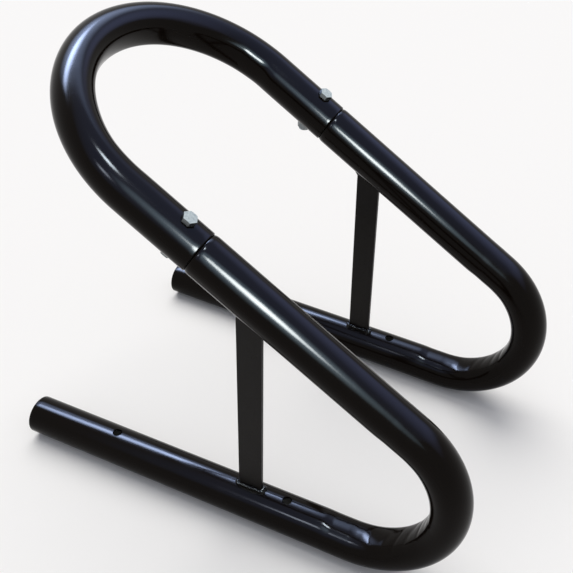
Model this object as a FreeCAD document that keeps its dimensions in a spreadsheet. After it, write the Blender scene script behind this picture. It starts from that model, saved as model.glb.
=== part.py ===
import FreeCAD, Part
import Sketcher

import math
import os

from FreeCAD import Placement, Rotation, Vector

# Motorcycle wheel chock of bent round steel tube, sizes in millimetres and degrees.
# +X points to the low rear bends where the wheel rolls in, +Z is up, and the frame stands on Z = 0.
# The origin is the middle of the footprint, and the left side frame lies at -Y.

os.makedirs("parts", exist_ok=True)
doc = FreeCAD.newDocument("wheel_chock")

SIZES = [
    ("tube_outside", 44.45, "outside diameter of the frame tube, 1 3/4 inch"),
    ("tube_wall", 2.0, "wall of the frame tube"),
    ("track", 282.0, "distance between the two legs of the hoop, centre to centre"),
    ("floor_run", 408.0, "straight tube on the floor, open end to start of the rear bend"),
    ("rear_bend", 98.0, "centreline radius of the rear bend"),
    ("slope_angle", 31.5, "angle of the sloping run above the floor, in the plane of a side frame"),
    ("slope_run", 257.0, "straight sloping tube, end of the rear bend to the slip joint"),
    ("lean", 1.75, "each side frame leans in by this angle, so the feet stand wider than the hoop"),
    ("hoop_leg", 81.5, "straight leg of the hoop above the slip joint"),
    ("rear_crush", 4.6, "how far the inner wall of the rear bend is pressed flat"),
    ("hoop_crush", 3.6, "how far the inner wall of the hoop is pressed flat"),
    ("rear_lead", 28.0, "how far outside the rear bend its flat begins"),
    ("rear_ramp", 44.0, "length over which the flat of the rear bend builds up"),
    ("hoop_ramp", 46.0, "length over which the flat of the hoop builds up, from the start of its bend"),
    ("spigot_gap", 0.2, "clearance all round between spigot and hoop bore"),
    ("spigot_length", 62.0, "length of the reduced spigot inside the hoop"),
    ("shoulder", 6.0, "length of the rounded shoulder where the tube reduces to the spigot"),
    ("edge_break", 1.0, "broken outer edge of the hoop's cut ends"),
    ("front_hole", 115.0, "open end to the front fixing hole"),
    ("hole_spacing", 220.0, "front to rear fixing hole"),
    ("fixing_hole", 11.0, "diameter of the fixing holes, for 3/8 inch or M10 bolts"),
    ("brace_from_end", 291.0, "open end to the middle of the upright brace"),
    ("brace_width", 27.5, "width of the flat bar brace"),
    ("brace_thick", 5.0, "thickness of the flat bar brace"),
    ("weld_leg", 4.5, "leg of the weld bead round each end of a brace"),
    ("weld_clear", 0.02, "clearance of a weld bead from what it joins"),
    ("bolt_from_end", 24.0, "cut end of the hoop to the through bolt"),
    ("bolt_shank", 8.0, "shank diameter of the M8 through bolt"),
    ("bolt_play", 0.5, "clearance all round the shank in its drilled holes"),
    ("thread_gap", 0.05, "clearance between the shank and the nut's plain bore"),
    ("bolt_tail", 3.5, "shank that stands out past the nut"),
    ("hex_flats", 13.0, "width across flats of bolt head and nut"),
    ("head_height", 5.3, "height of the bolt head"),
    ("nut_height", 6.5, "height of the nut"),
    ("hex_chamfer", 20.0, "angle of the corner chamfers on head and nut"),
]

sheet = doc.addObject("Spreadsheet::Sheet", "sizes")
for row, (alias, value, meaning) in enumerate(SIZES, start=1):
    sheet.set(f"A{row}", alias)
    sheet.set(f"B{row}", str(value))
    sheet.set(f"C{row}", meaning)
    sheet.setAlias(f"B{row}", alias)
doc.recompute()

SIDES = {"left": -1, "right": 1}
UP = Vector(0, 0, 1)
ALONG = Vector(1, 0, 0)
ACROSS = Vector(0, 1, 0)


def size(alias):
    return float(sheet.get(alias))


tube_radius = size("tube_outside") / 2
wall = size("tube_wall")
slope = math.radians(size("slope_angle"))
bend_turn = math.pi - slope


# Where the side frame's own lines run, in its own plane: X along the floor run from the open end,
# Z up from the floor run's centreline, and Y square to the frame.

bend_start = ALONG * size("floor_run")
bend_centre = bend_start + UP * size("rear_bend")
bend_end = bend_centre + Vector(math.sin(bend_turn), 0, -math.cos(bend_turn)) * size("rear_bend")
slope_way = Vector(-math.cos(slope), 0, math.sin(slope))
slope_out = Vector(math.sin(slope), 0, math.cos(slope))
joint_point = bend_end + slope_way * size("slope_run")
brace_middle = ALONG * size("brace_from_end")


# Each side frame leans in about its floor run and toes out just enough for its sloping run to
# stay parallel to the other, so both fit the straight legs of one hoop.

lean = math.radians(size("lean"))
toe = math.atan(math.tan(slope) * math.sin(lean))
hoop_slope = math.asin(math.sin(slope) * math.cos(lean))
hoop_way = Vector(-math.cos(hoop_slope), 0, math.sin(hoop_slope))
hoop_out = Vector(math.sin(hoop_slope), 0, math.cos(hoop_slope))
hoop_radius = size("track") / 2

rear_reach = (size("floor_run") + size("rear_bend") + tube_radius) * math.cos(toe)
front_reach = tube_radius * math.sin(toe)
middle_shift = -(rear_reach - front_reach) / 2


def side_place(side):
    """carries the plane of a side frame to its place in the chock"""
    turn = Rotation(UP, -math.degrees(toe) * side).multiply(Rotation(ALONG, math.degrees(lean) * side))
    joint_from_end = turn.multVec(joint_point)
    base = Vector(middle_shift, side * hoop_radius - joint_from_end.y, tube_radius)
    return Placement(base, turn)


# Tube forms. Every stretch is made as a solid rod, once at the outside of the tube and once at
# its bore, so that the wall stays the same all the way round.

SIDE_SWELL = 1 / 8   # share of the crush by which the pressed tube swells at each side
RAMP_SECTIONS = 5    # cuts through the stretch where the flat builds up

def rod(start, way, length, radius):
    return Part.makeCylinder(radius, length, start, way)


def bend_section(middle, outward, along, crush, inset):
    """one cut through a bend: a circle, or an ellipse whose inner side is pressed in by crush"""
    radius = tube_radius - inset
    if crush > 0:
        curve = Part.Ellipse(Vector(0, crush / 2, 0), radius + crush * SIDE_SWELL, radius - crush / 2)
    else:
        curve = Part.Circle(Vector(), UP, radius)
    wire = Part.Wire(curve.toShape())
    wire.Placement = Placement(middle, Rotation(outward.cross(along), outward, along, "ZXY"))
    return wire


def crushed_bend(centre, first_out, axis, bend_radius, turn, crush, lead, ramp, inset):
    """a press bend: round at both ends, with the inner wall pressed flat in between

    first_out points from the bend's centre to the start of the bend, and the bend turns about
    axis. At each end the flat begins lead outside the bend and is at its full depth a ramp later.
    inset is how far this rod lies inside the outside of the tube."""

    def section(run, share):
        """the cut at a distance run along the centreline from the start of the bend"""
        bent = min(max(run, 0), bend_radius * turn)
        outward = Rotation(axis, math.degrees(bent / bend_radius)).multVec(first_out)
        along = axis.cross(outward)
        middle = centre + outward * bend_radius + along * (run - bent)
        return bend_section(middle, outward, along, crush * share, inset)

    shares = [step / (RAMP_SECTIONS - 1) for step in range(RAMP_SECTIONS)]
    entry = [section(ramp * share - lead, share) for share in shares]
    leaving = [section(bend_radius * turn + lead - ramp * share, share) for share in shares]
    flat_turn = turn - 2 * (ramp - lead) / bend_radius
    middle = Part.Face(entry[-1]).revolve(centre, axis, math.degrees(flat_turn))
    return [Part.makeLoft(entry, True, False), middle, Part.makeLoft(leaving[::-1], True, False)]


def revolved(outline, start, way):
    """turns a closed outline of (along, radius) corners about the line start-way"""
    corners = [Vector(radius, 0, along) for along, radius in outline]
    face = Part.Face(Part.makePolygon(corners + corners[:1]))
    solid = face.revolve(Vector(), UP, 360)
    solid.Placement = Placement(start, Rotation(UP, way))
    return solid


def spigot_outline(inset):
    """the reduced end of a side tube: a shoulder that rolls in, then the spigot"""
    full = tube_radius - inset
    slim = full - wall - size("spigot_gap")
    reach = size("shoulder")
    roll = [(-reach * (1 - math.sin(turn)), slim + (full - slim) * math.cos(turn))
            for turn in (0, math.pi / 6, math.pi / 3, math.pi / 2)]
    return [(-reach, 0)] + roll + [(size("spigot_length"), slim), (size("spigot_length"), 0)]


def side_rod(inset):
    """the side tube as a solid rod, inset from the outside of the tube by a wall or by nothing"""
    radius = tube_radius - inset
    lead = size("rear_lead")
    floor_rod = rod(Vector(), ALONG, size("floor_run") - lead, radius)
    bend = crushed_bend(
        bend_centre, -UP, -ACROSS, size("rear_bend"), bend_turn,
        size("rear_crush"), lead, size("rear_ramp"), inset,
    )
    slope_length = size("slope_run") - size("shoulder") - lead
    slope_rod = rod(bend_end + slope_way * lead, slope_way, slope_length, radius)
    spigot = revolved(spigot_outline(inset), joint_point, slope_way)
    return floor_rod.fuse(bend + [slope_rod, spigot])


def bolt_hole(joint, way, out):
    middle = joint + way * size("bolt_from_end")
    radius = size("bolt_shank") / 2 + size("bolt_play")
    return rod(middle - out * size("tube_outside"), out, 2 * size("tube_outside"), radius)


def side_tube_shape(side):
    """one side tube, its spigot drilled in line with the hoop it carries"""
    tube = side_rod(0).cut(side_rod(wall))
    for along in (size("front_hole"), size("front_hole") + size("hole_spacing")):
        start = ALONG * along - UP * size("tube_outside")
        tube = tube.cut(rod(start, UP, 2 * size("tube_outside"), size("fixing_hole") / 2))
    bolt_way = side_place(side).inverse().Rotation.multVec(hoop_out)
    return tube.cut(bolt_hole(joint_point, slope_way, bolt_way))


def hoop_leg_outline(inset):
    """a straight leg of the hoop, the outer edge of its cut end broken"""
    radius = tube_radius - inset
    leg = size("hoop_leg")
    edge = 0 if inset else size("edge_break")
    start = [(0, 0), (0, radius - edge), (edge, radius)] if edge else [(0, 0), (0, radius)]
    return start + [(leg, radius), (leg, 0)]


def hoop_joint(side):
    """centre of the hoop's cut end on one side, in the chock"""
    return side_place(side).multVec(joint_point)


def hoop_rod(inset):
    top_middle = (hoop_joint(-1) + hoop_joint(1)) * 0.5 + hoop_way * size("hoop_leg")
    legs = [revolved(hoop_leg_outline(inset), hoop_joint(side), hoop_way) for side in SIDES.values()]
    bend = crushed_bend(
        top_middle, -ACROSS, -hoop_out, hoop_radius, math.pi,
        size("hoop_crush"), 0, size("hoop_ramp"), inset,
    )
    return legs[0].fuse(bend + legs[1:])


def hoop_shape():
    tube = hoop_rod(0).cut(hoop_rod(wall))
    for side in SIDES.values():
        tube = tube.cut(bolt_hole(hoop_joint(side), hoop_way, hoop_out))
    return tube


def add_feature(name, shape, place=Placement()):
    feature = doc.addObject("Part::Feature", name)
    feature.Label = name
    feature.Shape = shape
    feature.Placement = place
    return feature


parts = []
for side_name, side in SIDES.items():
    parts.append(add_feature(f"{side_name}_side_tube", side_tube_shape(side), side_place(side)))
parts.append(add_feature("hoop_tube", hoop_shape()))


# Bodies drawn from sketches. A sketch here is a closed polygon in its body's own plane, and each
# corner's two coordinates are tied to the sheet by an expression.

TILT = "sizes.slope_angle * 1 deg"


def origin_feature(body, role):
    return next(item for item in body.Origin.OriginFeatures if item.Role == role)


def add_body(name, place):
    body = doc.addObject("PartDesign::Body", name)
    body.Label = name
    body.Placement = place
    return body


def add_sketch(body, name, role):
    sketch = body.newObject("Sketcher::SketchObject", name)
    sketch.AttachmentSupport = [(origin_feature(body, role), "")]
    sketch.MapMode = "FlatFace"
    return sketch


def tie(sketch, kind, line, end, expression):
    """holds one coordinate of a line's end to an expression of the sheet"""
    index = sketch.addConstraint(Sketcher.Constraint(kind, -1, 1, line, end, 1.0))
    sketch.setExpression(f"Constraints[{index}]", expression)


def polygon_sketch(body, name, role, first_guess, expressions):
    """a closed polygon: first_guess places its corners, expressions hold them"""
    sketch = add_sketch(body, name, role)
    corners = [Vector(x, y, 0) for x, y in first_guess]
    for first, second in zip(corners, corners[1:] + corners[:1]):
        sketch.addGeometry(Part.LineSegment(first, second))
    for line in range(len(corners)):
        following = (line + 1) % len(corners)
        sketch.addConstraint(Sketcher.Constraint("Coincident", line, 2, following, 1))
    for line, (x_expression, y_expression) in enumerate(expressions):
        tie(sketch, "DistanceX", line, 1, x_expression)
        tie(sketch, "DistanceY", line, 1, y_expression)
    return sketch


def circle_sketch(body, name, role, radius_expression):
    sketch = add_sketch(body, name, role)
    sketch.addGeometry(Part.Circle(Vector(), UP, 1.0))
    sketch.addConstraint(Sketcher.Constraint("Coincident", 0, 3, -1, 1))
    index = sketch.addConstraint(Sketcher.Constraint("Radius", 0, 1.0))
    sketch.setExpression(f"Constraints[{index}]", radius_expression)
    return sketch


def sketch_feature(body, kind, name, sketch, **bound):
    feature = body.newObject(kind, name)
    feature.Profile = sketch
    for key, expression in bound.items():
        feature.setExpression(key, expression)
    return feature


# Braces: flat bar on edge in the plane of the side frame, from the crown of the floor run
# to the underside of the sloping run, its upper end cut to the slope.

def underside_height(x_expression):
    """height of the sloping run's underside above the floor run's centreline"""
    return (
        f"sizes.rear_bend * (1 + cos({TILT}))"
        f" + (sizes.floor_run + sizes.rear_bend * sin({TILT}) - ({x_expression})) * tan({TILT})"
        f" - sizes.tube_outside / 2 / cos({TILT})"
    )


def add_brace(name, place):
    body = add_body(name, place)
    front = "sizes.brace_from_end - sizes.brace_width / 2"
    rear = "sizes.brace_from_end + sizes.brace_width / 2"
    crown = "sizes.tube_outside / 2"
    sketch = polygon_sketch(
        body, f"{name}_outline", "XZ_Plane",
        [(270, 20), (300, 20), (300, 250), (270, 270)],
        [(front, crown), (rear, crown), (rear, underside_height(rear)), (front, underside_height(front))],
    )
    pad = sketch_feature(body, "PartDesign::Pad", f"{name}_bar", sketch, Length="sizes.brace_thick")
    pad.SideType = "Symmetric"
    return body


braces = {}
for side_name, side in SIDES.items():
    braces[side_name] = add_brace(f"{side_name}_brace", side_place(side))
    parts.append(braces[side_name])


# Through bolt and nut, drawn about the centreline of the bolt: Z runs out through the head, and
# the tube's centreline crosses at Z = 0, so the head and the nut sit on the tube's crown.

HEX_FLAT = "sizes.hex_flats / 2"
HEX_CORNER = "sizes.hex_flats / 2 / cos(30 deg)"
PAST_CORNER = f"{HEX_CORNER} + 1"
SEAT = "sizes.tube_outside / 2"


def hexagon_sketch(body, name):
    guess = []
    expressions = []
    for corner in range(6):
        turn = math.radians(60 * corner)
        guess.append((7 * math.cos(turn), 7 * math.sin(turn)))
        expressions.append(
            (f"{HEX_CORNER} * cos({60 * corner} deg)", f"{HEX_CORNER} * sin({60 * corner} deg)")
        )
    return polygon_sketch(body, name, "XY_Plane", guess, expressions)


def chamfer_corners(body, name, face, inward):
    """turns off the corners of a hexagon at the height face; inward is + or -, into the metal"""
    reach = f"({PAST_CORNER} - {HEX_FLAT}) * tan(sizes.hex_chamfer * 1 deg)"
    guessed_face = size("tube_outside") / 2
    if inward == "+":
        guessed_face = -guessed_face
    sketch = polygon_sketch(
        body, f"{name}_outline", "XZ_Plane",
        [(6.5, guessed_face), (9, guessed_face), (9, guessed_face - 1)],
        [(HEX_FLAT, face), (PAST_CORNER, face), (PAST_CORNER, f"{face} {inward} {reach}")],
    )
    groove = body.newObject("PartDesign::Groove", name)
    groove.Profile = sketch
    groove.ReferenceAxis = (origin_feature(body, "Z_Axis"), [""])
    groove.Angle = 360
    return groove


def offset_pad(body, name, sketch, level, length):
    """a pad of a sketch that is moved up the bolt's line to a level"""
    sketch.setExpression("AttachmentOffset.Base.z", level)
    return sketch_feature(body, "PartDesign::Pad", name, sketch, Length=length)


def add_bolt(name, place):
    body = add_body(name, place)
    offset_pad(body, f"{name}_head", hexagon_sketch(body, f"{name}_hexagon"), SEAT, "sizes.head_height")
    tail = f"-({SEAT} + sizes.nut_height + sizes.bolt_tail)"
    shank_sketch = circle_sketch(body, f"{name}_round", "XY_Plane", "sizes.bolt_shank / 2")
    offset_pad(
        body, f"{name}_shank", shank_sketch, tail,
        "sizes.tube_outside + sizes.nut_height + sizes.bolt_tail",
    )
    chamfer_corners(body, f"{name}_chamfer", f"{SEAT} + sizes.head_height", "-")
    return body


def add_nut(name, place):
    body = add_body(name, place)
    outer = f"-({SEAT} + sizes.nut_height)"
    offset_pad(body, f"{name}_block", hexagon_sketch(body, f"{name}_hexagon"), outer, "sizes.nut_height")
    chamfer_corners(body, f"{name}_outer_chamfer", outer, "+")
    chamfer_corners(body, f"{name}_seat_chamfer", f"-({SEAT})", "-")
    bore_sketch = circle_sketch(
        body, f"{name}_round", "XY_Plane", "sizes.bolt_shank / 2 + sizes.thread_gap"
    )
    bore_sketch.setExpression("AttachmentOffset.Base.z", f"-({SEAT})")
    sketch_feature(
        body, "PartDesign::Pocket", f"{name}_bore", bore_sketch, Length="sizes.nut_height"
    )
    return body


def bolt_place(side):
    turned = Rotation(hoop_way, hoop_out.cross(hoop_way), hoop_out, "ZXY")
    return Placement(hoop_joint(side) + hoop_way * size("bolt_from_end"), turned)


for side_name, side in SIDES.items():
    parts.append(add_bolt(f"{side_name}_bolt", bolt_place(side)))
    parts.append(add_nut(f"{side_name}_nut", bolt_place(side)))


# Weld beads: a sloping collar laid round each end of a brace, cut to the bar and the tube.

def rectangle(place, along, across):
    corners = [(-along, -across), (along, -across), (along, across), (-along, across)]
    points = [Vector(x / 2, y / 2, 0) for x, y in corners]
    wire = Part.makePolygon(points + points[:1])
    wire.Placement = place
    return wire


def weld_collar(seat, along_way, off_way, bar_length):
    """a collar that stands off_way from a tube's crown at seat, round a bar bar_length long

    It slopes at 45 degrees, from a root below the crown, where the tube's sides fall away."""
    leg = size("weld_leg")
    root = leg / 2
    lip = leg / 8
    square = Rotation(along_way, off_way.cross(along_way), off_way, "ZXY")
    thick = size("brace_thick")
    spread = 2 * (leg + root)
    foot = rectangle(Placement(seat - off_way * root, square), bar_length + spread, thick + spread)
    top = rectangle(Placement(seat + off_way * leg, square), bar_length + 2 * lip, thick + 2 * lip)
    return Part.makeLoft([foot, top], True, True)


def grown_bar():
    """the brace with the weld's clearance all round, run past both its ends"""
    clear = size("weld_clear")
    width = size("brace_width") + 2 * clear
    thick = size("brace_thick") + 2 * clear
    corner = brace_middle - ALONG * width / 2 - ACROSS * thick / 2
    past_slope = 2 * size("rear_bend") + size("slope_run")
    return Part.makeBox(width, thick, past_slope, corner)


def side_frame_weld(seat, along_way, off_way, bar_length):
    clear = size("weld_clear")
    collar = weld_collar(seat, along_way, off_way, bar_length)
    centre = seat - off_way * tube_radius
    reach = 2 * bar_length
    tube = rod(centre - along_way * reach, along_way, 2 * reach, tube_radius + clear)
    return collar.cut([tube, grown_bar()])


foot_seat = brace_middle + UP * tube_radius
slope_at_brace = (bend_end.x - brace_middle.x) / math.cos(slope)
under_slope = bend_end + slope_way * slope_at_brace - UP * tube_radius / math.cos(slope)
welds = {
    "foot": side_frame_weld(foot_seat, ALONG, UP, size("brace_width")),
    "head": side_frame_weld(under_slope, slope_way, -slope_out, size("brace_width") / math.cos(slope)),
}
for side_name, side in SIDES.items():
    for end_name, weld in welds.items():
        parts.append(add_feature(f"{side_name}_brace_{end_name}_weld", weld, side_place(side)))


doc.recompute()
for item in doc.Objects:
    if "Invalid" in item.State or "Error" in item.State:
        raise RuntimeError(f"{item.Name}: {item.State}")
for part in parts:
    if part.Shape.isNull() or not part.Shape.isValid() or part.Shape.Volume <= 0:
        raise RuntimeError(f"{part.Label} has no valid solid")
for part in parts:
    part.Shape.exportStep(f"parts/{part.Label}.step")
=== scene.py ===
import math

import bmesh
import bpy
import numpy as np
from mathutils import Matrix, Vector


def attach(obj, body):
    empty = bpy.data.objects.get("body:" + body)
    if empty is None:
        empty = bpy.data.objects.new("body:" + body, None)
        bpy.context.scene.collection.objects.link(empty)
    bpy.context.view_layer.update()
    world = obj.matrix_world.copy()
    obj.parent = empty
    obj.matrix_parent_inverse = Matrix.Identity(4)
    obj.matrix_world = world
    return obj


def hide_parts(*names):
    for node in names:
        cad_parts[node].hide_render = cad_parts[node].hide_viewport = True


# Looks of a motorcycle wheel chock of bent black steel tube, in metres, in the frame of its solids:
# +X points to the low rear bends, +Z is up, the chock stands on Z = 0 and its left side is at -Y.

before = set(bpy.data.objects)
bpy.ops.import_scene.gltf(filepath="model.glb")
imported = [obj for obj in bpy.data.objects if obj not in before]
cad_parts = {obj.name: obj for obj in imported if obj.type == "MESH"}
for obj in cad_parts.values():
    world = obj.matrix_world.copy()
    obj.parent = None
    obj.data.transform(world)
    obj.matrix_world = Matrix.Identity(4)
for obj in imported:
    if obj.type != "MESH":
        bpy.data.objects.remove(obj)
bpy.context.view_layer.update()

MM = 0.001
IN_MM = 1 / MM

# Driving dimensions, the same as the solids have.

TUBE_RADIUS = 22.225 * MM
TUBE_WALL = 2.0 * MM
TRACK = 282.0 * MM
FLOOR_RUN = 408.0 * MM
REAR_BEND = 98.0 * MM
SLOPE_RUN = 257.0 * MM
SLOPE = math.radians(31.5)
LEAN = math.radians(1.75)
HOOP_LEG = 81.5 * MM
REAR_CRUSH = 4.6 * MM
REAR_LEAD = 28.0 * MM
REAR_RAMP = 44.0 * MM
REAR_STEP = 1.9 * MM
HOOP_CRUSH = 3.6 * MM
HOOP_RAMP = 46.0 * MM
SPIGOT_GAP = 0.2 * MM
SPIGOT_LENGTH = 62.0 * MM
SHOULDER = 6.0 * MM
EDGE_BREAK = 1.0 * MM
FRONT_HOLE = 115.0 * MM
HOLE_SPACING = 220.0 * MM
FIXING_HOLE = 11.0 * MM
BRACE_FROM_END = 291.0 * MM
BRACE_WIDTH = 27.5 * MM
BRACE_THICK = 5.0 * MM
WELD_LEG = 4.5 * MM
BOLT_FROM_END = 24.0 * MM
BOLT_SHANK = 8.0 * MM
BOLT_PLAY = 0.5 * MM
BOLT_TAIL = 3.5 * MM
HEX_FLATS = 13.0 * MM
HEAD_HEIGHT = 5.3 * MM
NUT_HEIGHT = 6.5 * MM
HEX_CHAMFER = math.radians(20)
THREAD_PITCH = 1.25 * MM

SIDES = {"left": -1, "right": 1}
UP = Vector((0, 0, 1))
ALONG = Vector((1, 0, 0))
ACROSS = Vector((0, 1, 0))

# Lines of a side frame in its own plane: X along the floor run from the open end, Z up from the
# middle of the tube.

REAR_TURN = math.pi - SLOPE
REAR_ARC = REAR_BEND * REAR_TURN
HOOP_ARC = math.pi * TRACK / 2
slope_way = Vector((-math.cos(SLOPE), 0, math.sin(SLOPE)))
slope_out = Vector((math.sin(SLOPE), 0, math.cos(SLOPE)))
bend_centre = ALONG * FLOOR_RUN + UP * REAR_BEND
bend_end = bend_centre + slope_out * REAR_BEND
joint_point = bend_end + slope_way * SLOPE_RUN

# Each side frame leans in and toes out just enough for both to fit the straight legs of one hoop.

TOE = math.atan(math.tan(SLOPE) * math.sin(LEAN))
HOOP_SLOPE = math.asin(math.sin(SLOPE) * math.cos(LEAN))
hoop_way = Vector((-math.cos(HOOP_SLOPE), 0, math.sin(HOOP_SLOPE)))
hoop_out = Vector((math.sin(HOOP_SLOPE), 0, math.cos(HOOP_SLOPE)))
rear_reach = (FLOOR_RUN + REAR_BEND + TUBE_RADIUS) * math.cos(TOE)
middle_shift = -(rear_reach - TUBE_RADIUS * math.sin(TOE)) / 2


def side_place(side):
    """carries the plane of a side frame to its place in the chock"""
    turn = Matrix.Rotation(-TOE * side, 4, UP) @ Matrix.Rotation(LEAN * side, 4, ALONG)
    joint_y = (turn @ joint_point).y
    return Matrix.Translation((middle_shift, side * TRACK / 2 - joint_y, TUBE_RADIUS)) @ turn


def hoop_joint(side):
    return side_place(side) @ joint_point


class BentLine:
    """centreline of a bent tube: a straight run, one bend and a straight run"""

    def __init__(self, start, along, outward, first_run, bend_radius, turn):
        self.start = np.array(start)
        self.along = np.array(along)
        self.outward = np.array(outward)
        self.first_run = first_run
        self.bend_radius = bend_radius
        self.arc = bend_radius * turn
        self.across = np.cross(self.outward, self.along)

    def at(self, runs):
        """middle, direction and the bend's outward side, at distances from the start"""
        runs = np.asarray(runs)
        bent = np.clip(runs - self.first_run, 0, self.arc)
        straight = (runs - bent)[:, None]
        angle = (bent / self.bend_radius)[:, None]
        along = self.along * np.cos(angle) - self.outward * np.sin(angle)
        outward = self.outward * np.cos(angle) + self.along * np.sin(angle)
        centre = self.start - self.outward * self.bend_radius
        before = np.minimum(straight, self.first_run)
        after = np.maximum(straight - self.first_run, 0)
        middle = centre + outward * self.bend_radius + self.along * before + along * after
        return middle, along, outward


# Press marks. A press bend is flat on its inner wall, with a crease where the former's edge bore,
# a few ripples where the wall was squeezed short, and a shallow rub where the side dies held it.

def ramped(run, begin, end, ramp):
    """0 outside begin..end and 1 inside, with a straight ramp at both ends"""
    rise = (run - begin) / ramp
    fall = (end - run) / ramp
    return np.clip(np.minimum(rise, fall), 0, 1)


def bump_at(value, middle, width):
    return np.exp(-((value - middle) / width) ** 2)


def pressed_section(radius, angle, crush):
    """(outward, across) of a section whose inner wall is pressed in by crush: between an ellipse
    and a round with a flat cut on it"""
    oval_out = crush / 2 + (radius - crush / 2) * np.cos(angle)
    oval_across = (radius + crush / 8) * np.sin(angle)
    flat = radius - crush
    round_out = radius * np.cos(angle)
    softness = 1.6 * MM * np.clip(crush / MM, 0, 1)
    above = round_out + flat
    flat_out = (above + np.sqrt(above ** 2 + softness ** 2)) / 2 - flat
    return (oval_out + flat_out) / 2, (oval_across + radius * np.sin(angle)) / 2


WRINKLES_BEGIN = FLOOR_RUN + 52 * MM
WRINKLES_END = FLOOR_RUN + 150 * MM
WRINKLE_SLANT = 9 * MM


def rear_marks(seed):
    """how far the wall of a side tube goes in, by run and by angle from the inner side"""
    chance = np.random.default_rng(seed)
    ripples = []
    place = WRINKLES_BEGIN
    while place < WRINKLES_END:
        deep = chance.uniform(0.12, 0.55) * MM
        wide = chance.uniform(2.8, 5.0) * MM
        lean = math.radians(chance.uniform(-26, 26))
        ripples.append((place, deep, wide, lean, math.radians(chance.uniform(20, 38))))
        place += chance.uniform(9, 24) * MM
    ends = (FLOOR_RUN - REAR_LEAD, FLOOR_RUN + REAR_ARC + REAR_LEAD)

    def marks(run, inner_angle):
        inner = bump_at(inner_angle, 0, math.radians(42))
        flank = bump_at(abs(inner_angle), math.radians(78), math.radians(20))
        depth = np.zeros(np.broadcast(run, inner_angle).shape)
        for place, deep, wide, lean, reach in ripples:
            slant = place + WRINKLE_SLANT * (inner_angle - lean)
            depth = depth + deep * bump_at(run, slant, wide) * bump_at(inner_angle, lean, reach)
        for end, inward in zip(ends, (1, -1)):
            crease = end + inward * REAR_RAMP
            depth = depth + 0.16 * MM * bump_at(run, end, 3 * MM) * inner
            depth = depth - 0.14 * MM * bump_at(run, crease, 5 * MM) * inner
            depth = depth + 0.22 * MM * bump_at(run, end + inward * 16 * MM, 9 * MM) * flank
        return depth

    return marks


def hoop_marks(run, inner_angle):
    """the hoop's near shoulder was pressed harder than its far one"""
    inner = bump_at(inner_angle, 0, math.radians(46))
    outer = bump_at(abs(inner_angle), math.pi, math.radians(60))
    near = 1.3 * MM * bump_at(run, HOOP_LEG + 52 * MM, 30 * MM)
    far = 0.8 * MM * bump_at(run, HOOP_LEG + HOOP_ARC - 16 * MM, 9 * MM)
    outer_flat = 0.7 * MM * bump_at(run, HOOP_LEG + 145 * MM, 55 * MM)
    return (near + far) * inner + outer_flat * outer


# Tubes. Rings run from one cut end along the outside to the other, and back along the bore, so
# the mesh is one closed skin.

RING_POINTS = 144
STRAIGHT_STEP = 6 * MM
BEND_STEP = 1.6 * MM
BORE_STEP = 9 * MM
ROUNDING = [math.pi / 2 * step / 4 for step in range(5)]


def runs_between(begin, end, close_spans, close_step, wide_step):
    """distances from begin to end, close together inside close_spans"""
    places = [begin]
    while places[-1] < end - close_step / 2:
        last = places[-1]
        close = any(low - wide_step <= last <= high for low, high in close_spans)
        places.append(last + (close_step if close else wide_step))
    places[-1] = end
    return places


def cut_end(run, inward, radius, edge):
    """rings round the outer edge of a cut end, from the end face to the outside"""
    return [(run + inward * edge * (1 - math.cos(turn)), radius - edge * (1 - math.sin(turn)))
            for turn in ROUNDING]


def tube_mesh(name, line, outside, bore, crush_at, marks, materials, depth_at):
    """a bent tube from rings of (run, radius), outside and bore"""
    rings = outside + bore
    runs = np.array([run for run, radius in rings])
    radii = np.array([radius for run, radius in rings])
    angle = np.linspace(0, 2 * math.pi, RING_POINTS, endpoint=False)
    middle, along, outward = line.at(runs)
    crush = crush_at(runs)
    out, across = pressed_section(radii[:, None], angle[None, :], crush[:, None])
    inner_angle = (angle[None, :] % (2 * math.pi)) - math.pi
    inset = marks(runs[:, None], inner_angle)
    out = out - inset * np.cos(angle)
    across = across - inset * np.sin(angle)
    points = middle[:, None, :] + outward[:, None, :] * out[..., None]
    points = points + line.across * across[..., None]

    count = len(rings)
    ring = np.arange(count)[:, None]
    step = np.arange(RING_POINTS)[None, :]
    after_ring = (ring + 1) % count
    after_step = (step + 1) % RING_POINTS
    corners = [ring * RING_POINTS + step, after_ring * RING_POINTS + step,
               after_ring * RING_POINTS + after_step, ring * RING_POINTS + after_step]
    faces = np.stack(np.broadcast_arrays(*corners), -1).reshape(-1, 4)

    mesh = bpy.data.meshes.new(name)
    mesh.from_pydata(points.reshape(-1, 3).tolist(), [], faces.tolist())
    for material in materials:
        mesh.materials.append(material)
    in_bore = np.repeat(np.arange(count) >= len(outside) - 1, RING_POINTS).astype(np.int32)
    mesh.polygons.foreach_set("material_index", in_bore)
    depth = mesh.attributes.new("bore_depth", "FLOAT", "POINT")
    depth.data.foreach_set("value", np.repeat(depth_at(runs), RING_POINTS).astype(np.float32))
    outward_first(mesh)
    piece = bpy.data.objects.new(name, mesh)
    bpy.context.scene.collection.objects.link(piece)
    return piece


def outward_first(mesh):
    """turns a closed skin's faces outward"""
    work = bmesh.new()
    work.from_mesh(mesh)
    bmesh.ops.recalc_face_normals(work, faces=work.faces)
    work.to_mesh(mesh)
    work.free()


def settle(piece):
    """keeps what a piece's modifiers made as its own mesh"""
    graph = bpy.context.evaluated_depsgraph_get()
    made = bpy.data.meshes.new_from_object(piece.evaluated_get(graph))
    piece.modifiers.clear()
    piece.data = made


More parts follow.
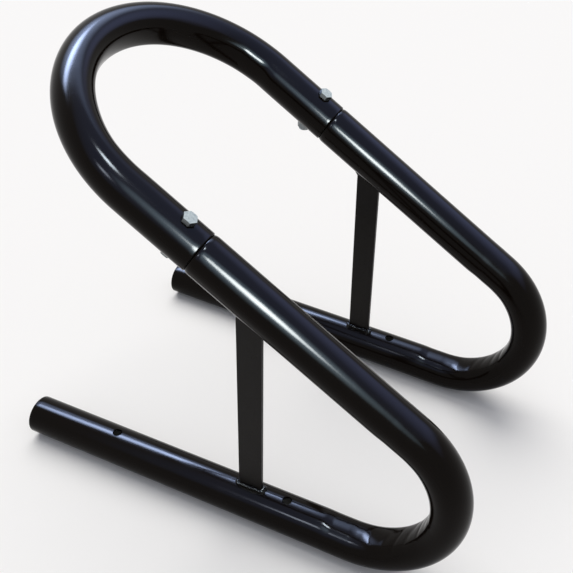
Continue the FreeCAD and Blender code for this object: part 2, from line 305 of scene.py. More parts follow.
def drill(piece, middle, way, diameter):
    """drills a round hole right through a piece"""
    cutter_mesh = bpy.data.meshes.new("cutter")
    work = bmesh.new()
    bmesh.ops.create_cone(
        work, cap_ends=True, segments=64, radius1=diameter / 2, radius2=diameter / 2,
        depth=4 * TUBE_RADIUS,
    )
    work.to_mesh(cutter_mesh)
    work.free()
    cutter = bpy.data.objects.new("cutter", cutter_mesh)
    bpy.context.scene.collection.objects.link(cutter)
    turn = UP.rotation_difference(Vector(way)).to_matrix().to_4x4()
    cutter.matrix_world = Matrix.Translation(middle) @ turn
    modifier = piece.modifiers.new("drilled", "BOOLEAN")
    modifier.operation = "DIFFERENCE"
    modifier.solver = "EXACT"
    modifier.object = cutter
    settle(piece)
    bpy.data.objects.remove(cutter)


def smooth_shade(piece, sharp_from):
    """smooth shading that keeps edges sharper than an angle"""
    mesh = piece.data
    mesh.polygons.foreach_set("use_smooth", [True] * len(mesh.polygons))
    mesh.set_sharp_from_angle(angle=math.radians(sharp_from))
    mesh.update()


# The pieces whose sheen shows the cards of the stage.
enamelled = bpy.data.collections.new("enamelled")


def finish_piece(piece, node, slot):
    """hands a piece over to the frame: it stands for its node and rides with it"""
    if slot != "zinc":
        enamelled.objects.link(piece)
    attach(piece, "root")
    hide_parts(node)


# Materials. Colours are sRGB, and every pattern's scale is a real size in millimetres.

def srgb(code):
    """linear colour of an sRGB hex code"""
    shares = [int(code[i:i + 2], 16) / 255 for i in (1, 3, 5)]
    return [s / 12.92 if s <= 0.04045 else ((s + 0.055) / 1.055) ** 2.4 for s in shares] + [1.0]


def per_metre(size_mm):
    """pattern scale whose features are size_mm apart"""
    return IN_MM / size_mm


def add_node(tree, kind, inputs=(), **settings):
    """adds one node: settings are its properties, inputs its sockets, each a value or a link"""
    node = tree.nodes.new(kind)
    for key, value in settings.items():
        setattr(node, key, value)
    for key, value in dict(inputs).items():
        if isinstance(value, bpy.types.NodeSocket):
            tree.links.new(value, node.inputs[key])
        else:
            node.inputs[key].default_value = value
    return node


# Where nearly all of a noise pattern's values lie, to spread them over the whole of a range.
NOISE_SPAN = {"From Min": 0.3, "From Max": 0.7}


def new_material(name):
    """an empty node material with its output and its object coordinates"""
    material = bpy.data.materials.new(name)
    material.use_nodes = True
    tree = material.node_tree
    tree.nodes.clear()
    place = add_node(tree, "ShaderNodeTexCoord").outputs["Object"]
    output = add_node(tree, "ShaderNodeOutputMaterial")
    return material, tree, place, output


def gloss_black_enamel():
    """Gloss black enamel, sprayed on drawn steel tube: near black under a wet-looking skin, with
    the fine orange peel of a sprayed coat and slow waves from the tube beneath, which bend the
    edges of what it mirrors. Real orange peel is 1 to 2 mm across, too fine to show at this
    distance, so it is drawn at 3.2 mm."""
    material, tree, place, output = new_material("gloss_black_enamel_on_tube")
    peel = add_node(tree, "ShaderNodeTexNoise", {
        "Vector": place, "Scale": per_metre(3.2), "Detail": 1.5, "Roughness": 0.45})
    waves = add_node(tree, "ShaderNodeTexNoise", {
        "Vector": place, "Scale": per_metre(26), "Detail": 1.0, "Roughness": 0.4})
    haze = add_node(tree, "ShaderNodeTexNoise", {
        "Vector": place, "Scale": per_metre(48), "Detail": 3.0, "Roughness": 0.6})
    soft_waves = add_node(tree, "ShaderNodeBump", {
        "Strength": 1.0, "Distance": 0.10 * MM, "Height": waves.outputs["Fac"]})
    skin = add_node(tree, "ShaderNodeBump", {
        "Strength": 1.0, "Distance": 0.012 * MM, "Height": peel.outputs["Fac"],
        "Normal": soft_waves.outputs["Normal"]})
    gloss = add_node(tree, "ShaderNodeMapRange", {
        "Value": haze.outputs["Fac"], **NOISE_SPAN, "To Min": 0.10, "To Max": 0.17})
    shader = add_node(tree, "ShaderNodeBsdfPrincipled", {
        "Base Color": srgb("#0c0704"), "Metallic": 0.0, "IOR": 1.15,
        "Roughness": gloss.outputs["Result"], "Normal": skin.outputs["Normal"]})
    tree.links.new(shader.outputs["BSDF"], output.inputs["Surface"])
    return material


def bare_bore():
    """Inside of the tube: black overspray that thins out from the cut end into bare drawn steel,
    dull brown-grey with a film of oil."""
    material, tree, place, output = new_material("oversprayed_steel_bore")
    depth = add_node(tree, "ShaderNodeAttribute", attribute_name="bore_depth").outputs["Fac"]
    grain = add_node(tree, "ShaderNodeTexNoise", {
        "Vector": place, "Scale": per_metre(1.4), "Detail": 4.0, "Roughness": 0.7})
    drift = add_node(tree, "ShaderNodeTexNoise", {
        "Vector": place, "Scale": per_metre(16), "Detail": 3.0, "Roughness": 0.6})
    shifted = add_node(tree, "ShaderNodeMath", {
        0: drift.outputs["Fac"], 1: 0.05, 2: depth}, operation="MULTIPLY_ADD")
    bare = add_node(tree, "ShaderNodeMapRange", {
        "Value": shifted.outputs["Value"], "From Min": 0.03, "From Max": 0.085})
    colours = add_node(tree, "ShaderNodeMix", {
        "Factor": bare.outputs["Result"], "A": srgb("#100e0d"), "B": srgb("#4a443e"),
    }, data_type="RGBA")
    bump = add_node(tree, "ShaderNodeBump", {
        "Strength": 0.6, "Distance": 0.02 * MM, "Height": grain.outputs["Fac"]})
    shader = add_node(tree, "ShaderNodeBsdfPrincipled", {
        "Base Color": colours.outputs["Result"], "Metallic": 0.35, "Roughness": 0.48,
        "Normal": bump.outputs["Normal"]})
    tree.links.new(shader.outputs["BSDF"], output.inputs["Surface"])
    return material


def satin_black_bar():
    """Black enamel on hot-rolled flat bar: a little brown, satin because the coat sank into mill
    scale, whose shallow pits still show."""
    material, tree, place, output = new_material("satin_black_enamel_on_rolled_bar")
    scale_pits = add_node(tree, "ShaderNodeTexNoise", {
        "Vector": place, "Scale": per_metre(3.5), "Detail": 4.0, "Roughness": 0.65})
    cloud = add_node(tree, "ShaderNodeTexNoise", {
        "Vector": place, "Scale": per_metre(22), "Detail": 2.0})
    tone = add_node(tree, "ShaderNodeMix", {
        "Factor": cloud.outputs["Fac"], "A": srgb("#0d0a08"), "B": srgb("#15110e"),
    }, data_type="RGBA")
    bump = add_node(tree, "ShaderNodeBump", {
        "Strength": 1.0, "Distance": 0.08 * MM, "Height": scale_pits.outputs["Fac"]})
    gloss = add_node(tree, "ShaderNodeMapRange", {
        "Value": scale_pits.outputs["Fac"], **NOISE_SPAN, "To Min": 0.26, "To Max": 0.40})
    shader = add_node(tree, "ShaderNodeBsdfPrincipled", {
        "Base Color": tone.outputs["Result"], "Metallic": 0.0, "IOR": 1.2,
        "Roughness": gloss.outputs["Result"], "Normal": bump.outputs["Normal"]})
    tree.links.new(shader.outputs["BSDF"], output.inputs["Surface"])
    return material


def enamelled_weld():
    """The same black enamel pooled over a weld bead: thick and wet in the valleys, so each ripple
    of the bead catches a small bright glint."""
    material, tree, place, output = new_material("black_enamel_on_weld_bead")
    spatter = add_node(tree, "ShaderNodeTexNoise", {
        "Vector": place, "Scale": per_metre(1.8), "Detail": 2.0, "Roughness": 0.5})
    bump = add_node(tree, "ShaderNodeBump", {
        "Strength": 1.0, "Distance": 0.12 * MM, "Height": spatter.outputs["Fac"]})
    shader = add_node(tree, "ShaderNodeBsdfPrincipled", {
        "Base Color": srgb("#0c0805"), "Metallic": 0.0, "IOR": 1.22, "Roughness": 0.12,
        "Normal": bump.outputs["Normal"]})
    tree.links.new(shader.outputs["BSDF"], output.inputs["Surface"])
    return material


def bright_zinc():
    """Bright zinc plate on a cold-headed bolt: pale bluish metal, a soft mirror clouded by the
    plating bath and fine tumbling marks. The flats are painted a darker grey: painted shade that
    stands in for the dark room they mirror. Real tumbling marks are finer, and are drawn at 0.5 mm."""
    material, tree, place, output = new_material("bright_zinc_plated_steel")
    bath = add_node(tree, "ShaderNodeTexNoise", {
        "Vector": place, "Scale": per_metre(2.4), "Detail": 3.0, "Roughness": 0.6})
    marks = add_node(tree, "ShaderNodeTexNoise", {
        "Vector": place, "Scale": per_metre(0.5), "Detail": 2.0, "Roughness": 0.6})
    gloss = add_node(tree, "ShaderNodeMapRange", {
        "Value": bath.outputs["Fac"], **NOISE_SPAN, "To Min": 0.30, "To Max": 0.46})
    bump = add_node(tree, "ShaderNodeBump", {
        "Strength": 0.5, "Distance": 0.03 * MM, "Height": marks.outputs["Fac"]})
    cloud = add_node(tree, "ShaderNodeMapRange", {"Value": bath.outputs["Fac"], **NOISE_SPAN})
    tone = add_node(tree, "ShaderNodeMix", {
        "Factor": cloud.outputs["Result"], "A": srgb("#a3b0b8"), "B": srgb("#d0dadf"),
    }, data_type="RGBA")
    # Painted shade: where the surface faces across the bolt's line, as on the hex flats, the zinc
    # tone gives way to the dark grey #74797b.
    facing = add_node(tree, "ShaderNodeNewGeometry").outputs["Normal"]
    endward = add_node(tree, "ShaderNodeVectorMath", {
        0: facing, 1: tuple(hoop_out)}, operation="DOT_PRODUCT")
    endward = add_node(tree, "ShaderNodeMath", {0: endward.outputs["Value"]}, operation="ABSOLUTE")
    flat_shade_mask = add_node(tree, "ShaderNodeMapRange", {
        "Value": endward.outputs["Value"], "From Min": 0.25, "From Max": 0.85})
    shade = add_node(tree, "ShaderNodeMix", {
        "Factor": flat_shade_mask.outputs["Result"], "A": srgb("#74797b"), "B": tone.outputs["Result"],
    }, data_type="RGBA")
    shader = add_node(tree, "ShaderNodeBsdfPrincipled", {
        "Base Color": shade.outputs["Result"], "Metallic": 1.0,
        "Roughness": gloss.outputs["Result"], "Normal": bump.outputs["Normal"]})
    tree.links.new(shader.outputs["BSDF"], output.inputs["Surface"])
    return material


tube_enamel = gloss_black_enamel()
bore_steel = bare_bore()
bar_enamel = satin_black_bar()
weld_enamel = enamelled_weld()
zinc = bright_zinc()

# The two side tubes: open at the front, necked down to a spigot at the hoop.

SIDE_LENGTH = FLOOR_RUN + REAR_ARC + SLOPE_RUN
SPIGOT_RADIUS = TUBE_RADIUS - TUBE_WALL - SPIGOT_GAP
OPEN_EDGE = 0.4 * MM


def shoulder_rings(full, slim):
    """the neck where the tube rolls in to its spigot"""
    return [(SIDE_LENGTH - SHOULDER * (1 - math.sin(turn)), slim + (full - slim) * math.cos(turn))
            for turn in ROUNDING]


def side_tube(side_name, side):
    place = side_place(side)
    turn = place.to_3x3()
    line = BentLine(place @ Vector(), turn @ ALONG, turn @ -UP, FLOOR_RUN, REAR_BEND, REAR_TURN)
    holes = [FRONT_HOLE, FRONT_HOLE + HOLE_SPACING]
    close = [(hole - FIXING_HOLE, hole + FIXING_HOLE) for hole in holes]
    close.append((FLOOR_RUN - REAR_LEAD, FLOOR_RUN + REAR_ARC + REAR_LEAD))
    neck = SIDE_LENGTH - SHOULDER
    skin = runs_between(OPEN_EDGE, neck, close, BEND_STEP, STRAIGHT_STEP)
    outside = cut_end(0, 1, TUBE_RADIUS, OPEN_EDGE)
    outside += [(run, TUBE_RADIUS) for run in skin[1:-1]]
    outside += shoulder_rings(TUBE_RADIUS, SPIGOT_RADIUS)
    outside.append((SIDE_LENGTH + SPIGOT_LENGTH, SPIGOT_RADIUS))
    bore_radius = TUBE_RADIUS - TUBE_WALL
    inside = runs_between(0, neck, close[2:], BORE_STEP / 2, BORE_STEP)
    spigot_bore = SPIGOT_RADIUS - TUBE_WALL
    bore = [(SIDE_LENGTH + SPIGOT_LENGTH, spigot_bore)]
    bore += shoulder_rings(bore_radius, spigot_bore)[::-1]
    bore += [(run, bore_radius) for run in inside[-2::-1]]

    def crush_at(run):
        """the former's edge bites in a step, and its curve presses the rest"""
        begin, end = FLOOR_RUN - REAR_LEAD, FLOOR_RUN + REAR_ARC + REAR_LEAD
        inside = np.minimum(run - begin, end - run)
        bite = (0, 10 * MM, 30 * MM, REAR_RAMP + 14 * MM)
        return np.interp(inside, bite, (0, REAR_STEP, REAR_STEP + 0.3 * MM, REAR_CRUSH))

    piece = tube_mesh(
        f"{side_name}_side_tube_bent", line, outside, bore, crush_at, rear_marks(40 + side),
        [tube_enamel, bore_steel], lambda run: run,
    )
    for hole in holes:
        drill(piece, place @ (ALONG * hole), turn @ UP, FIXING_HOLE)
    bolt_middle = hoop_joint(side) + hoop_way * BOLT_FROM_END
    drill(piece, bolt_middle, hoop_out, BOLT_SHANK + 2 * BOLT_PLAY)
    smooth_shade(piece, 35)
    finish_piece(piece, f"{side_name}_side_tube", "tube_enamel")


def hoop_tube():
    """the hoop that slips over both spigots"""
    line = BentLine(hoop_joint(-1), hoop_way, -ACROSS, HOOP_LEG, TRACK / 2, math.pi)
    length = 2 * HOOP_LEG + HOOP_ARC
    close = [(HOOP_LEG - HOOP_RAMP / 2, HOOP_LEG + HOOP_ARC + HOOP_RAMP / 2)]
    skin = runs_between(EDGE_BREAK, length - EDGE_BREAK, close, BEND_STEP, STRAIGHT_STEP)
    outside = cut_end(0, 1, TUBE_RADIUS, EDGE_BREAK)
    outside += [(run, TUBE_RADIUS) for run in skin[1:-1]]
    outside += cut_end(length, -1, TUBE_RADIUS, EDGE_BREAK)[::-1]
    bore_radius = TUBE_RADIUS - TUBE_WALL
    inside = runs_between(0, length, close, BORE_STEP / 2, BORE_STEP)
    bore = [(run, bore_radius) for run in inside[::-1]]

    def crush_at(run):
        return HOOP_CRUSH * ramped(run, HOOP_LEG, HOOP_LEG + HOOP_ARC, HOOP_RAMP)

    piece = tube_mesh(
        "hoop_tube_bent", line, outside, bore, crush_at, hoop_marks,
        [tube_enamel, bore_steel], lambda run: np.minimum(run, length - run),
    )
    for side in SIDES.values():
        middle = hoop_joint(side) + hoop_way * BOLT_FROM_END
        drill(piece, middle, hoop_out, BOLT_SHANK + 2 * BOLT_PLAY)
    smooth_shade(piece, 35)
    finish_piece(piece, "hoop_tube", "tube_enamel")


for side_name, side in SIDES.items():
    side_tube(side_name, side)
hoop_tube()


# Braces: rolled flat bar with slightly rounded edges.

BAR_EDGE = 0.7 * MM


def underside(along):
    """height of the sloping run's underside above the floor run's middle"""
    rise = (bend_end.x - along) * math.tan(SLOPE)
    return bend_end.z + rise - TUBE_RADIUS / math.cos(SLOPE)


def brace(side_name, side):
    place = side_place(side)
    work = bmesh.new()
    half = BRACE_THICK / 2
    front = BRACE_FROM_END - BRACE_WIDTH / 2
    rear = BRACE_FROM_END + BRACE_WIDTH / 2
    outline = [(front, TUBE_RADIUS), (rear, TUBE_RADIUS),
               (rear, underside(rear)), (front, underside(front))]
    near = [work.verts.new((x, -half, z)) for x, z in outline]
    far = [work.verts.new((x, half, z)) for x, z in outline]
    work.faces.new(near)
    work.faces.new(far[::-1])
    for first in range(4):
        second = (first + 1) % 4
        work.faces.new((near[first], far[first], far[second], near[second]))
    bmesh.ops.recalc_face_normals(work, faces=work.faces)
    work.transform(place)
    mesh = bpy.data.meshes.new(f"{side_name}_brace_bar")
    work.to_mesh(mesh)
    work.free()
    mesh.materials.append(bar_enamel)
    piece = bpy.data.objects.new(f"{side_name}_brace_bar", mesh)
    bpy.context.scene.collection.objects.link(piece)
    round_edges(piece, BAR_EDGE, 3)
    finish_piece(piece, f"{side_name}_brace", "brace_enamel")


def round_edges(piece, width, segments):
    """rounds a piece's hard edges and keeps its flats flat in shading"""
    bevel = piece.modifiers.new("edges", "BEVEL")
    bevel.width = width
    bevel.segments = segments
    bevel.limit_method = "ANGLE"
    bevel.angle_limit = math.radians(30)
    bevel.use_clamp_overlap = True
    settle(piece)
    smooth_shade(piece, 60)
    weighted = piece.modifiers.new("flats", "WEIGHTED_NORMAL")
    weighted.keep_sharp = True
    weighted.weight = 100


for side_name, side in SIDES.items():
    brace(side_name, side)


# Weld beads: one run of bead laid round each end of a brace, in overlapping ripples.

BEAD_STEPS = 360
BEAD_POINTS = 14
BEAD_LUMPS = 24
RIPPLE = 2.9 * MM
BEAD_SINK = 0.15 * MM
BEAD_ROOT = 1.2 * MM
BEAD_FOOT = 1.5 * MM


def bar_outline(length, thick, steps):
    """points round a bar's section, with the way out from the bar at each"""
    corner = 1.0 * MM
    straight = [(length - 2 * corner), (thick - 2 * corner)]
    perimeter = 2 * sum(straight) + 2 * math.pi * corner
    points = []
    for step in range(steps):
        left = perimeter * step / steps
        for quarter in range(4):
            edge = straight[quarter % 2]
            side = Vector(((1, 0), (0, 1), (-1, 0), (0, -1))[quarter])
            out = Vector((side.y, -side.x))
            reach = (length, thick)[quarter % 2] / 2
            drop = (thick, length)[quarter % 2] / 2
            if left <= edge:
                points.append((side * (left - reach + corner) + out * drop, out, step))
                break
            left -= edge
            arc = math.pi / 2 * corner
            if left <= arc:
                turn = left / corner
                middle = side * (reach - corner) + out * (drop - corner)
                way = out * math.cos(turn) + side * math.sin(turn)
                points.append((middle + way * corner, way, step))
                break
            left -= arc
    return points, perimeter


def weld_bead(name, node, place, seat, along_way, off_way, bar_way, bar_length, seed):
    """a bead between a tube's crown at seat and a bar that leaves it along bar_way"""
    chance = np.random.default_rng(seed)
    phase = chance.uniform(0, 1)
    lumps = chance.normal(0, 1, BEAD_LUMPS)
    across = off_way.cross(along_way)

    def spot_at(flat, sunk, height):
        """a point over a place on the crown's flat, sunk into the tube and raised up the bar"""
        on_flat = seat + along_way * flat.x + across * flat.y
        return on_flat - off_way * sunk + bar_way * height

    outline, perimeter = bar_outline(bar_length, BRACE_THICK, BEAD_STEPS)
    ripples = round(perimeter / RIPPLE)
    points = []
    for point, out, step in outline:
        share = step / BEAD_STEPS
        lump = np.interp(share * BEAD_LUMPS, range(BEAD_LUMPS + 1), [*lumps, lumps[0]])
        for turn_step in range(BEAD_POINTS):
            turn = math.pi / 2 * turn_step / (BEAD_POINTS - 1)
            lag = 0.35 * math.sin(2 * turn)
            ripple = math.sin(2 * math.pi * (share * ripples + phase - lag))
            leg = WELD_LEG * (1.02 + 0.17 * ripple + 0.15 * lump)
            full = 0.90 + 0.10 * math.sin(2 * turn)
            away = leg * math.cos(turn) * full
            height = leg * math.sin(turn) * full
            flat = point + out * away
            fall = TUBE_RADIUS - math.sqrt(max(TUBE_RADIUS ** 2 - flat.y ** 2, 0))
            points.append(spot_at(flat, fall * math.cos(turn) + BEAD_SINK, height))
        points.append(spot_at(point - out * BEAD_ROOT, 0, WELD_LEG / 2))
        points.append(spot_at(point, BEAD_FOOT, 0))
    row = BEAD_POINTS + 2
    faces = []
    for step in range(BEAD_STEPS):
        following = (step + 1) % BEAD_STEPS
        for spot in range(row):
            beside = (spot + 1) % row
            faces.append((step * row + spot, following * row + spot,
                          following * row + beside, step * row + beside))
    mesh = bpy.data.meshes.new(name)
    mesh.from_pydata([place @ p for p in points], [], faces)
    mesh.materials.append(weld_enamel)
    outward_first(mesh)
    piece = bpy.data.objects.new(name, mesh)
    bpy.context.scene.collection.objects.link(piece)
    smooth_shade(piece, 70)
    finish_piece(piece, node, "weld_enamel")


foot_seat = ALONG * BRACE_FROM_END + UP * TUBE_RADIUS
head_seat = ALONG * BRACE_FROM_END + UP * underside(BRACE_FROM_END)
for side_name, side in SIDES.items():
    place = side_place(side)
    weld_bead(f"{side_name}_foot_bead", f"{side_name}_brace_foot_weld", place,
              foot_seat, ALONG, UP, UP, BRACE_WIDTH, 11 + side)
    weld_bead(f"{side_name}_head_bead", f"{side_name}_brace_head_weld", place,
              head_seat, slope_way, -slope_out, -UP, BRACE_WIDTH / math.cos(SLOPE), 21 + side)


# Through bolts and nuts, drawn about the bolt's own line: Z runs out through the head.

HEX_POINTS = 96
SEAT = TUBE_RADIUS
THREAD_DEPTH = 0.61 * THREAD_PITCH
THREAD_STEP = 0.11 * MM
HEX_EDGE = 0.22 * MM


def hex_radius(angle):
    """reach of a hexagon's side at an angle, its corners at multiples of 60 degrees"""
    return HEX_FLATS / 2 / math.cos(angle % (math.pi / 3) - math.pi / 6)


def lathe_grid(work, rings, count):
    """closes rings of points into a skin: each ring is a function of the angle"""
    turns = [2 * math.pi * step / count for step in range(count)]
    rows = []
    for ring in rings:
        row = []
        for turn in turns:
            radius, height = ring(turn)
            row.append(work.verts.new((radius * math.cos(turn), radius * math.sin(turn), height)))
        rows.append(row)
    for lower, upper in zip(rows, rows[1:]):
        for step in range(count):
            following = (step + 1) % count
            work.faces.new((lower[step], lower[following], upper[following], upper[step]))
    return rows


def hex_rings(low, high, chamfer_low, chamfer_high):
    """outside of a hexagon block from its lower face to its upper, its corners turned off"""
    fall = math.tan(HEX_CHAMFER)
    slim = HEX_FLATS / 2 * 0.97

    def lower(turn):
        drop = (hex_radius(turn) - HEX_FLATS / 2) * fall if chamfer_low else 0
        return hex_radius(turn), low + drop

    def upper(turn):
        drop = (hex_radius(turn) - HEX_FLATS / 2) * fall if chamfer_high else 0
        return hex_radius(turn), high - drop

    return [lambda turn: (slim, low), lower, upper, lambda turn: (slim, high)]


def thread_radius(turn, height, crest, root):
    """radius of a thread at a turn and height"""
    phase = (height / THREAD_PITCH - turn / (2 * math.pi)) % 1
    return root + (crest - root) * min(1, max(0, 1.25 * (1 - abs(2 * phase - 1))))


def bolt_mesh(name):
    work = bmesh.new()
    rows = lathe_grid(work, hex_rings(SEAT, SEAT + HEAD_HEIGHT, False, True), HEX_POINTS)
    work.faces.new(rows[-1])
    crest = BOLT_SHANK / 2
    root = crest - THREAD_DEPTH
    end = -(SEAT + NUT_HEIGHT + BOLT_TAIL)
    thread_start = -(SEAT + NUT_HEIGHT * 0.6)
    levels = np.arange(end + 0.9 * MM, thread_start, THREAD_STEP)

    def threaded(level):
        return lambda turn: (thread_radius(turn, level, crest, root), level)

    rings = [lambda turn: (0.2 * crest, end), lambda turn: (root - 0.15 * MM, end)]
    rings += [threaded(level) for level in levels]
    rings += [lambda turn: (crest, thread_start + 0.1 * MM), lambda turn: (crest, SEAT + 0.2 * MM),
              lambda turn: (0.2 * crest, SEAT + 0.3 * MM)]
    shank = lathe_grid(work, rings, HEX_POINTS)
    work.faces.new(shank[0])
    work.faces.new(shank[-1])
    work.faces.new(rows[0])
    bmesh.ops.recalc_face_normals(work, faces=work.faces)
    mesh = bpy.data.meshes.new(name)
    work.to_mesh(mesh)
    work.free()
    return mesh


def nut_mesh(name):
    work = bmesh.new()
    low = -(SEAT + NUT_HEIGHT)
    bore = BOLT_SHANK / 2
    sink = 0.5 * MM
    rings = [lambda turn: (bore, low + sink), lambda turn: (bore + sink, low)]
    rings += hex_rings(low, -SEAT, True, True)
    rings += [lambda turn: (bore + sink, -SEAT), lambda turn: (bore, -SEAT - sink)]
    rings.append(rings[0])
    lathe_grid(work, rings, HEX_POINTS)
    bmesh.ops.remove_doubles(work, verts=work.verts, dist=0.001 * MM)
    bmesh.ops.recalc_face_normals(work, faces=work.faces)
    mesh = bpy.data.meshes.new(name)
    work.to_mesh(mesh)
    work.free()
    return mesh


def add_fastener(name, node, mesh, side):
    """puts a bolt or nut on its line, two of its corners along the hoop's leg"""
    across = hoop_out.cross(hoop_way)
    turn = Matrix((hoop_way, across, hoop_out)).transposed().to_4x4()
    middle = hoop_joint(side) + hoop_way * BOLT_FROM_END
    mesh.transform(Matrix.Translation(middle) @ turn)
    mesh.materials.append(zinc)
    piece = bpy.data.objects.new(name, mesh)
    bpy.context.scene.collection.objects.link(piece)
    round_edges(piece, HEX_EDGE, 2)
    finish_piece(piece, node, "zinc")


for side_name, side in SIDES.items():
    add_fastener(f"{side_name}_bolt_zinc", f"{side_name}_bolt", bolt_mesh("bolt"), side)
    add_fastener(f"{side_name}_nut_zinc", f"{side_name}_nut", nut_mesh("nut"), side)


# Stage: a plain pale floor under plain soft studio light.

FLOOR_REACH = 30.0


def pale_floor():
    """Plain pale studio floor: matt, even and neutral, so that the black tube stands out."""
    material, tree, _, output = new_material("matt_pale_studio_floor")
    shader = add_node(tree, "ShaderNodeBsdfDiffuse", {"Color": srgb("#f1f0ef")})
    tree.links.new(shader.outputs["BSDF"], output.inputs["Surface"])
    return material


floor_mesh = bpy.data.meshes.new("floor")
corners = [(x * FLOOR_REACH, y * FLOOR_REACH, 0) for x, y in ((-1, -1), (1, -1), (1, 1), (-1, 1))]
floor_mesh.from_pydata(corners, [], [(0, 1, 2, 3)])
floor_mesh.materials.append(pale_floor())
floor = bpy.data.objects.new("floor", floor_mesh)
bpy.context.scene.collection.objects.link(floor)

# The room: near white for the camera and for what mirrors it, and a softer light on the chock.

ROOM_LOOK = (0.95, 0.95, 0.95, 1)
ROOM_LIGHT = (0.45, 0.46, 0.50, 1)

world = bpy.data.worlds.new("studio_room")
bpy.context.scene.world = world
world.use_nodes = True
world.node_tree.nodes.clear()
rays = add_node(world.node_tree, "ShaderNodeLightPath").outputs
seen = add_node(world.node_tree, "ShaderNodeMath", {
    0: rays["Is Camera Ray"], 1: rays["Is Glossy Ray"]}, operation="MAXIMUM")
seen = add_node(world.node_tree, "ShaderNodeMath", {
    0: seen.outputs["Value"], 1: rays["Is Transmission Ray"]}, operation="MAXIMUM")
light = add_node(world.node_tree, "ShaderNodeMix", {
    "Factor": seen.outputs["Value"], "A": ROOM_LIGHT, "B": ROOM_LOOK,
}, data_type="RGBA")
room = add_node(world.node_tree, "ShaderNodeBackground", {
    "Color": light.outputs["Result"], "Strength": 1.0})
world_output = add_node(world.node_tree, "ShaderNodeOutputWorld")
world.node_tree.links.new(room.outputs["Background"], world_output.inputs["Surface"])


def toward(azimuth, elevation):
    """direction to a place in the room: azimuth from +X towards +Y, elevation above the floor"""
    a, e = math.radians(azimuth), math.radians(elevation)
    return Vector((math.cos(a) * math.cos(e), math.sin(a) * math.cos(e), math.sin(e)))


def soften(lamp, softness, rim):
    """fades a rectangular lamp towards its edges, as a diffuser does, down to a share rim"""
    lamp.use_nodes = True
    tree = lamp.node_tree
    tree.nodes.clear()
    spot = add_node(tree, "ShaderNodeNewGeometry").outputs["Parametric"]
    parts = add_node(tree, "ShaderNodeSeparateXYZ", {"Vector": spot})
    fades = []
    for share in (parts.outputs["X"], parts.outputs["Y"]):
        rest = add_node(tree, "ShaderNodeMath", {0: 1.0, 1: share}, operation="SUBTRACT")
        arch = add_node(tree, "ShaderNodeMath", {
            0: share, 1: rest.outputs["Value"]}, operation="MULTIPLY")
        full = add_node(tree, "ShaderNodeMath", {
            0: arch.outputs["Value"], 1: 4.0}, operation="MULTIPLY")
        fades.append(add_node(tree, "ShaderNodeMath", {
            0: full.outputs["Value"], 1: softness}, operation="POWER").outputs["Value"])
    fade = add_node(tree, "ShaderNodeMath", {0: fades[0], 1: fades[1]}, operation="MULTIPLY")
    kept = add_node(tree, "ShaderNodeMath", {
        0: fade.outputs["Value"], 1: 1 - rim, 2: rim}, operation="MULTIPLY_ADD")
    glow = add_node(tree, "ShaderNodeEmission", {"Strength": kept.outputs["Value"]})
    output = add_node(tree, "ShaderNodeOutputLight")
    tree.links.new(glow.outputs["Emission"], output.inputs["Surface"])


def card(name, seen_from, azimuth, elevation, wide, tall, radiance, distance, softness, rim):
    """a rectangular lamp that only the sheen of the enamel shows: where the enamel sees it, how many
    degrees wide and tall, how bright at its middle, and how bright still at its rim"""
    lamp = bpy.data.lights.new(name, "AREA")
    lamp.shape = "RECTANGLE"
    lamp.size = 2 * distance * math.tan(math.radians(wide) / 2)
    lamp.size_y = 2 * distance * math.tan(math.radians(tall) / 2)
    peak = max(radiance)
    lamp.color = [share / peak for share in radiance]
    lamp.energy = peak * math.pi * lamp.size * lamp.size_y
    soften(lamp, softness, rim / peak)
    box = bpy.data.objects.new(name, lamp)
    way = toward(azimuth, elevation)
    aim = (-way).to_track_quat("-Z", "Y").to_matrix().to_4x4()
    box.matrix_world = Matrix.Translation(Vector(seen_from) + way * distance) @ aim
    box.visible_camera = False
    box.visible_diffuse = False
    box.light_linking.receiver_collection = enamelled
    bpy.context.scene.collection.objects.link(box)


# What the enamel mirrors of the photograph's room: a window behind the chock, a flash at the
# camera, two lamps overhead, and dim violet walls and ceiling.

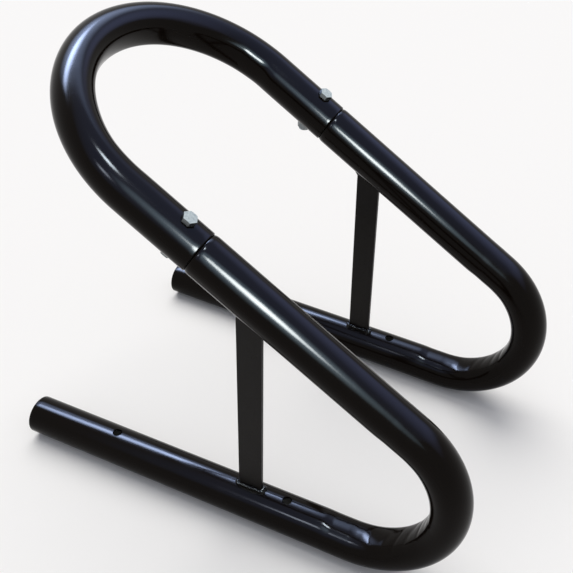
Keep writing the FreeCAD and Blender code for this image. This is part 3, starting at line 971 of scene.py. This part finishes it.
MIDDLE = (0, 0, 0.25)
card("window_card", MIDDLE, 149, 54, 46, 14, (68, 84, 125), 3.0, 1.0, 1)
card("window_glow", MIDDLE, 133, 52, 72, 38, (11, 14, 22), 3.1, 1.4, 0.3)
card("lens_card", (0.03, 0, 0.31), -65, 33, 19, 19, (230, 245, 245), 0.84, 0.9, 16)
card("lens_glow", (0.03, 0, 0.31), -65, 33, 44, 44, (15, 21, 25), 0.86, 1.3, 2.6)
card("zenith_card", (-0.1, -0.14, 0.39), -50, 77, 13, 13, (185, 210, 232), 1.5, 1.2, 0.5)
card("left_card", (0.11, -0.17, 0.02), -109, 48, 11, 9, (46, 51, 60), 2.0, 1.2, 0.3)
card("violet_card", MIDDLE, 36, 38, 90, 34, (1.9, 2.2, 4.2), 3.2, 1.1, 0.2)
card("ceiling_card", MIDDLE, -20, 72, 140, 80, (1.0, 1.5, 3.2), 3.4, 0.8, 0.1)

# The plain soft studio light.

key = bpy.data.lights.new("soft_key", "SUN")
key.energy = 2.25
key.color = (1.0, 0.98, 0.93)
key.angle = math.radians(60)
key_lamp = bpy.data.objects.new("soft_key", key)
key_lamp.matrix_world = toward(130, 62).to_track_quat("Z", "Y").to_matrix().to_4x4()
key_lamp.visible_glossy = False
key_lamp.visible_camera = False
bpy.context.scene.collection.objects.link(key_lamp)

# Camera, at the photograph's viewing angle, for a square picture 573 pixels wide.

PICTURE = 573
FOCAL_PIXELS = 839.3
MIDDLE_PIXEL = (299.7, 298.8)
CAMERA_AZIMUTH = math.radians(25.82)
CAMERA_ELEVATION = math.radians(39.10)
CAMERA_ROLL = math.radians(1.161)
CAMERA_PLACE = (middle_shift + 589.58 * MM, -653.40 * MM, 784.70 * MM)

camera = bpy.data.cameras.new("camera")
camera.sensor_width = 36
camera.lens = FOCAL_PIXELS / PICTURE * camera.sensor_width
camera.shift_x = (PICTURE / 2 - MIDDLE_PIXEL[0]) / PICTURE
camera.shift_y = (MIDDLE_PIXEL[1] - PICTURE / 2) / PICTURE
camera.clip_start = 0.05
camera.clip_end = 100
eye = bpy.data.objects.new("camera", camera)
back = Vector((math.sin(CAMERA_AZIMUTH) * math.cos(CAMERA_ELEVATION),
               -math.cos(CAMERA_AZIMUTH) * math.cos(CAMERA_ELEVATION), math.sin(CAMERA_ELEVATION)))
right = Vector((math.cos(CAMERA_AZIMUTH), math.sin(CAMERA_AZIMUTH), 0))
level = Matrix((right, back.cross(right), back)).transposed().to_4x4()
eye.matrix_world = Matrix.Translation(CAMERA_PLACE) @ level @ Matrix.Rotation(CAMERA_ROLL, 4, UP)
bpy.context.scene.collection.objects.link(eye)
bpy.context.scene.camera = eye

bpy.context.scene.view_settings.view_transform = "Standard"
